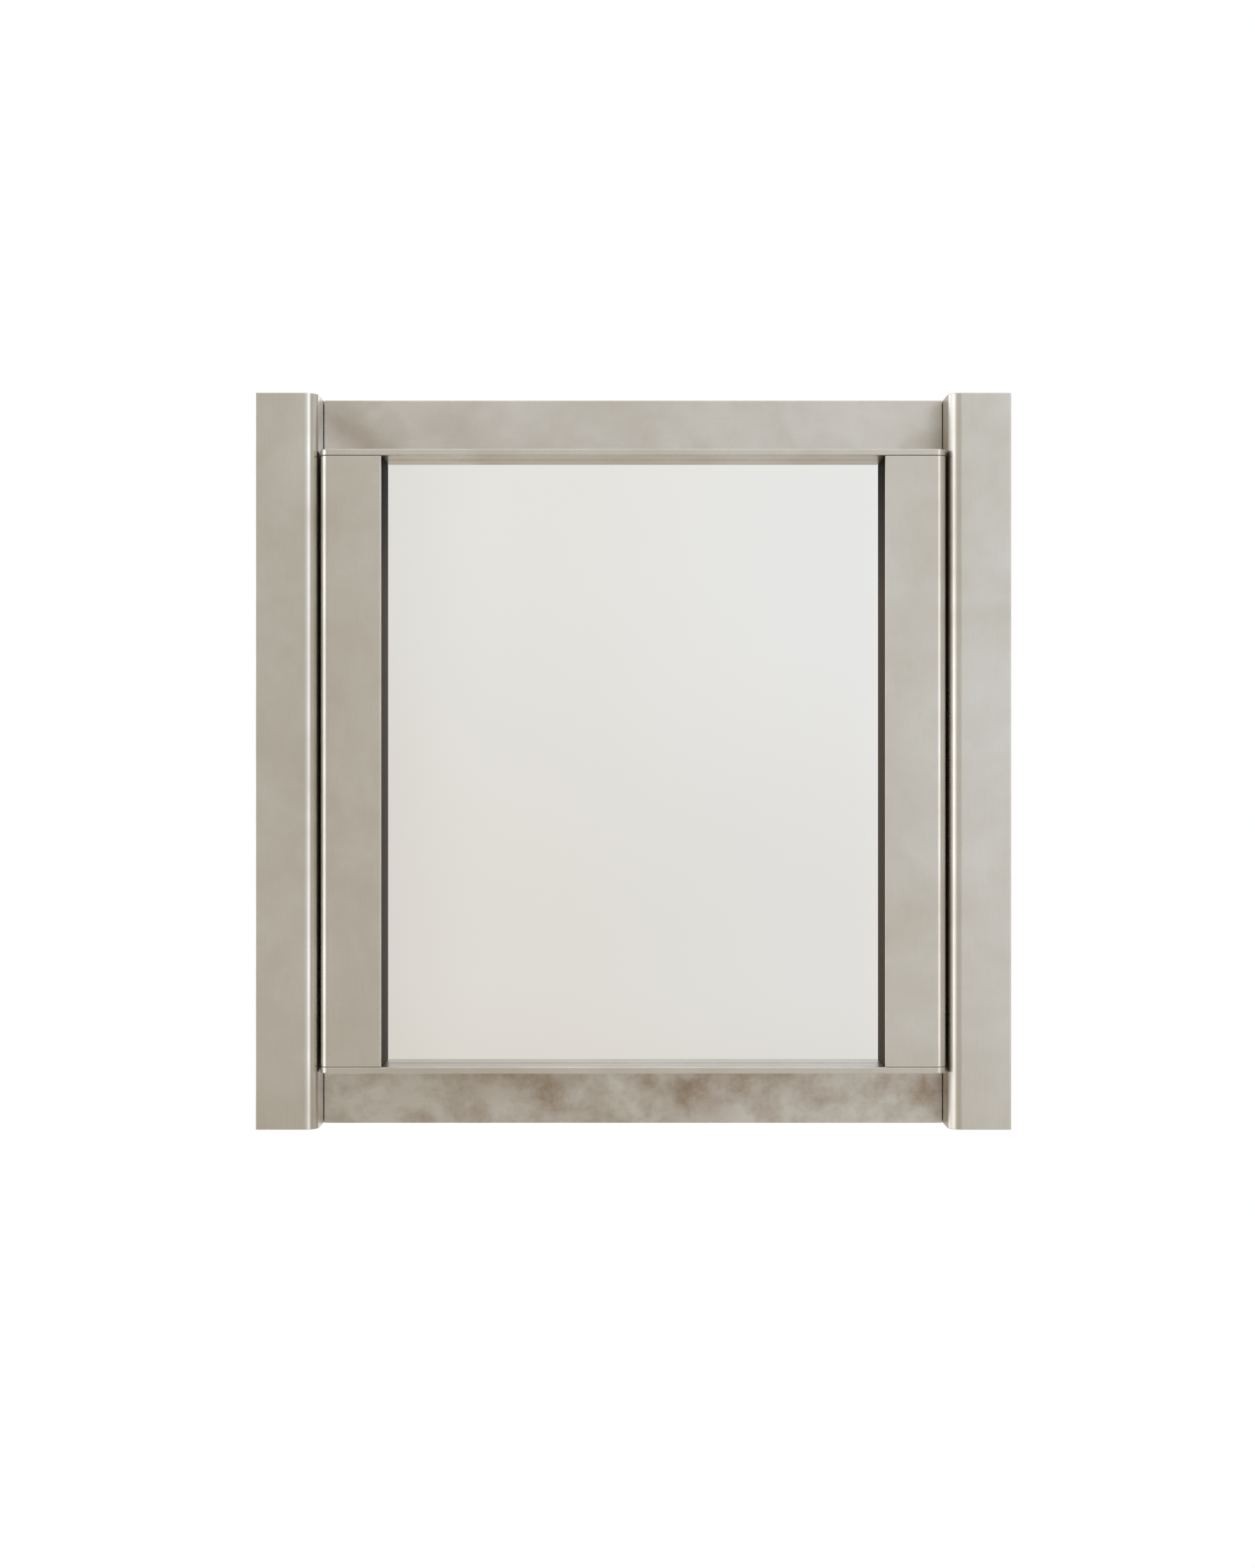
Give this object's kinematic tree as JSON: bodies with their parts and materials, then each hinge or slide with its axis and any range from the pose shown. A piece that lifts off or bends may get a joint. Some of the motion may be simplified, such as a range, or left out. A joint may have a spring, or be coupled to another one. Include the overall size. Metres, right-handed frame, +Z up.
{
  "type": "mirrored wall cabinet",
  "caption": "Shallow wall cabinet in satin metal: wide posts, set-back rails, and a thick framed mirror door on hidden pins, with glass shelves and a push latch.",
  "frame": {"origin": "on the wall plane, at the centre of the rectangle of four wall screw holes, which is the centre of the cabinet's back", "axes": "+X to the viewer's right along the width, +Y from the front to the wall, +Z up"},
  "size_m": [0.82, 0.15, 0.8],
  "materials": {
    "post_metal": "satin anodised, warm champagne grey, softly clouded",
    "door_metal": "satin anodised, warm champagne grey, softly clouded",
    "rail_metal": "satin anodised, warm grey, more clouded",
    "inner_sheet": "matt satin anodised",
    "dark_channel": "dark bronze anodised",
    "mirror": "silvered glass",
    "shelf_glass": "clear, polished edges",
    "black_plastic": "moulded, matt",
    "grey_plastic": "moulded, smooth",
    "silicone": "clear soft",
    "foam_tape": "matt foam",
    "plated_steel": "bright nickel",
    "hinge_steel": "satin nickel",
    "zinc_steel": "zinc plated"
  },
  "bodies": {
    "cabinet": {"back_panel": "inner_sheet", "back_panel_screws": "zinc_steel", "bottom_left_rail_bracket": "zinc_steel", "bottom_panel": "inner_sheet", "bottom_rail": "rail_metal", "bottom_right_rail_bracket": "zinc_steel", "door_bumpers": "silicone", "hinge_arm_screws": "zinc_steel", "latch_housing": "black_plastic", "latch_screws": "zinc_steel", "latch_spring": "plated_steel", "left_post": "post_metal", "left_post_bottom_cap": "post_metal", "left_post_top_cap": "post_metal", "lower_hinge_arm": "hinge_steel", "lower_shelf": "shelf_glass", "lower_wall_bar": "zinc_steel", "panel_screws": "zinc_steel", "rail_bracket_screws": "zinc_steel", "right_post": "post_metal", "right_post_bottom_cap": "post_metal", "right_post_top_cap": "post_metal", "shelf_pins": "zinc_steel", "top_left_rail_bracket": "zinc_steel", "top_panel": "inner_sheet", "top_rail": "rail_metal", "top_right_rail_bracket": "zinc_steel", "upper_hinge_arm": "hinge_steel", "upper_shelf": "shelf_glass", "upper_wall_bar": "zinc_steel", "wall_bar_rivets": "zinc_steel"},
    "door": {"door_back": "inner_sheet", "door_back_screws": "zinc_steel", "door_bottom_plate": "door_metal", "door_top_plate": "door_metal", "hinge_block_screws": "zinc_steel", "hinge_washers": "black_plastic", "left_mirror_channel": "dark_channel", "left_stile": "door_metal", "left_stile_bottom_plug": "black_plastic", "left_stile_top_plug": "black_plastic", "lower_hinge_block": "hinge_steel", "lower_hinge_pin": "hinge_steel", "mirror_glass": "mirror", "mirror_tapes": "foam_tape", "plate_screws": "zinc_steel", "right_mirror_channel": "dark_channel", "right_stile": "door_metal", "right_stile_bottom_plug": "black_plastic", "right_stile_top_plug": "black_plastic", "strike_disc": "plated_steel", "upper_hinge_block": "hinge_steel", "upper_hinge_pin": "hinge_steel"},
    "latch": {"latch_plunger": "grey_plastic", "latch_magnet": "plated_steel"}
  },
  "joints": [
    {"name": "door_hinge", "type": "hinge", "parent": "cabinet", "child": "door", "pos_m": [-0.3305, -0.14, 0], "axis": [0, 0, -1], "range_deg": [0, 105]},
    {"name": "latch_push", "type": "slide", "parent": "cabinet", "child": "latch", "axis": [0, 1, 0], "range_m": [0, 0.003], "stiffness_N_per_m": 400, "springref_m": -0.004, "deforming": ["latch_spring"]}
  ]
}
